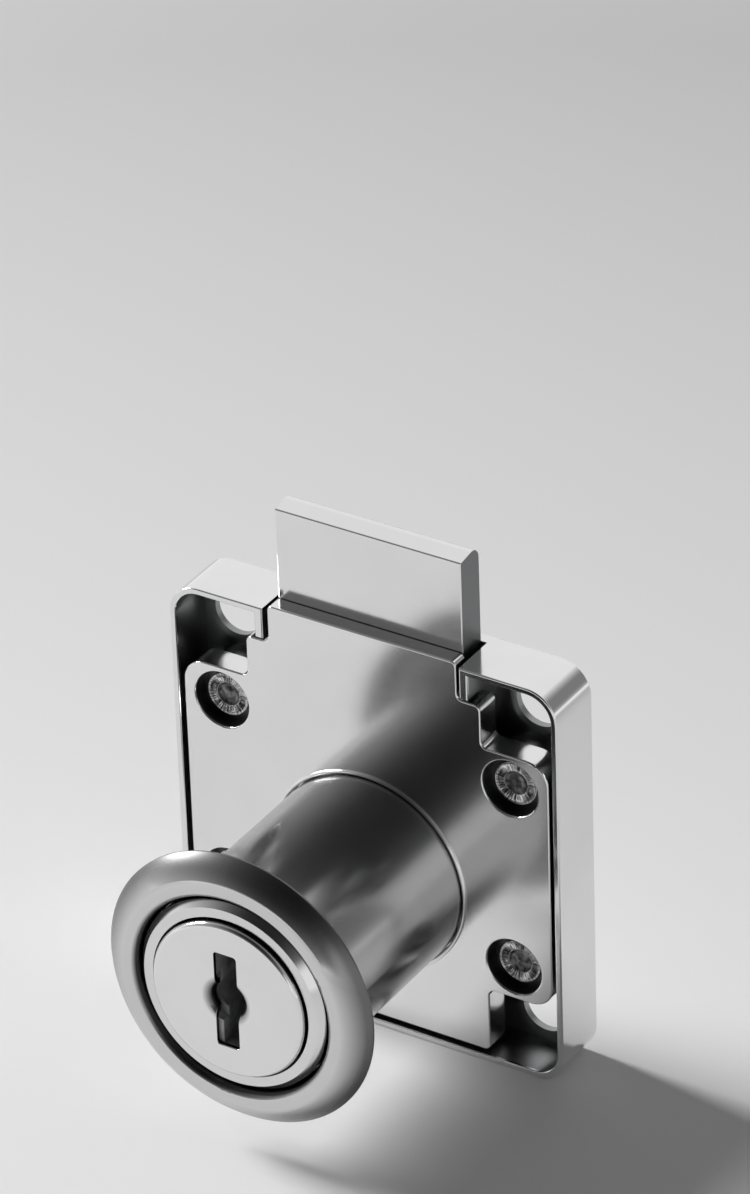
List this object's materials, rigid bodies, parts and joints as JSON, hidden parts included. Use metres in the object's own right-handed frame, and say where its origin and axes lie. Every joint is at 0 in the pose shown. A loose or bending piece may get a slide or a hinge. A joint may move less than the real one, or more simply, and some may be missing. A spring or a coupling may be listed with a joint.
{
  "type": "drawer lock",
  "caption": "Square cam-driven drawer lock: a flanged cylinder with a trim ring on a riveted cover plate, and a flat bolt that slides out of the case's end wall.",
  "frame": {"origin": "on the barrel axis, in the plane of the case's front rim, which bears on the back of the drawer front", "axes": "-Y along the barrel towards the key, +Z the way the bolt leaves the case, +X to the right seen from the key side"},
  "size_m": [0.039, 0.0286, 0.0495],
  "materials": {
    "case_plating": "bright nickel plating on die-cast zinc",
    "plate_plating": "bright nickel plating on die-cast zinc",
    "rivet_plating": "bright plated steel",
    "barrel_plating": "bright nickel plating on die-cast zinc",
    "ring_plating": "bright plated pressed steel",
    "plug_metal": "plain die-cast zinc",
    "cap_plating": "bright plated pressed steel",
    "clip_steel": "plain spring steel",
    "bolt_plating": "bright nickel plating on die-cast zinc",
    "wafer_brass": "plain stamped brass",
    "spring_steel": "drawn spring wire"
  },
  "bodies": {
    "housing": {"case": "case_plating", "cover_plate": "plate_plating", "rivets": "rivet_plating", "barrel": "barrel_plating"},
    "plug": {"plug": "plug_metal", "plug_cap": "cap_plating", "plug_clip": "clip_steel", "wafer_spring_1": "spring_steel", "wafer_spring_2": "spring_steel", "wafer_spring_3": "spring_steel", "wafer_spring_4": "spring_steel", "wafer_spring_5": "spring_steel", "wafer_spring_6": "spring_steel"},
    "bolt": {"bolt": "bolt_plating"},
    "trim_ring": {"trim_ring": "ring_plating"},
    "wafer_1": {"wafer_1": "wafer_brass"},
    "wafer_2": {"wafer_2": "wafer_brass"},
    "wafer_3": {"wafer_3": "wafer_brass"},
    "wafer_4": {"wafer_4": "wafer_brass"},
    "wafer_5": {"wafer_5": "wafer_brass"},
    "wafer_6": {"wafer_6": "wafer_brass"}
  },
  "joints": [
    {"name": "plug_turn", "type": "hinge", "parent": "housing", "child": "plug", "pos_m": [0, 0, 0], "axis": [0, 1, 0], "range_deg": [0, 180]},
    {"name": "bolt_slide", "type": "slide", "parent": "housing", "child": "bolt", "axis": [0, 0, 1], "range_m": [-0.0092, 0]},
    {"name": "trim_ring_slide", "type": "slide", "parent": "housing", "child": "trim_ring", "axis": [0, -1, 0], "range_m": [0, 0.03]},
    {"name": "wafer_1_slide", "type": "slide", "parent": "plug", "child": "wafer_1", "axis": [0, 0, 1], "range_m": [0, 0.0008], "stiffness_N_per_m": 150, "springref_m": 0.0028, "deforming": ["wafer_spring_1"]},
    {"name": "wafer_2_slide", "type": "slide", "parent": "plug", "child": "wafer_2", "axis": [0, 0, -1], "range_m": [0, 0.0008], "stiffness_N_per_m": 150, "springref_m": 0.0028, "deforming": ["wafer_spring_2"]},
    {"name": "wafer_3_slide", "type": "slide", "parent": "plug", "child": "wafer_3", "axis": [0, 0, 1], "range_m": [0, 0.0008], "stiffness_N_per_m": 150, "springref_m": 0.0028, "deforming": ["wafer_spring_3"]},
    {"name": "wafer_4_slide", "type": "slide", "parent": "plug", "child": "wafer_4", "axis": [0, 0, -1], "range_m": [0, 0.0008], "stiffness_N_per_m": 150, "springref_m": 0.0028, "deforming": ["wafer_spring_4"]},
    {"name": "wafer_5_slide", "type": "slide", "parent": "plug", "child": "wafer_5", "axis": [0, 0, 1], "range_m": [0, 0.0008], "stiffness_N_per_m": 150, "springref_m": 0.0028, "deforming": ["wafer_spring_5"]},
    {"name": "wafer_6_slide", "type": "slide", "parent": "plug", "child": "wafer_6", "axis": [0, 0, -1], "range_m": [0, 0.0008], "stiffness_N_per_m": 150, "springref_m": 0.0028, "deforming": ["wafer_spring_6"]}
  ],
  "couplings": [
    {"joint": "plug_turn", "follows": "bolt_slide", "rad_per_m": -341.4}
  ]
}
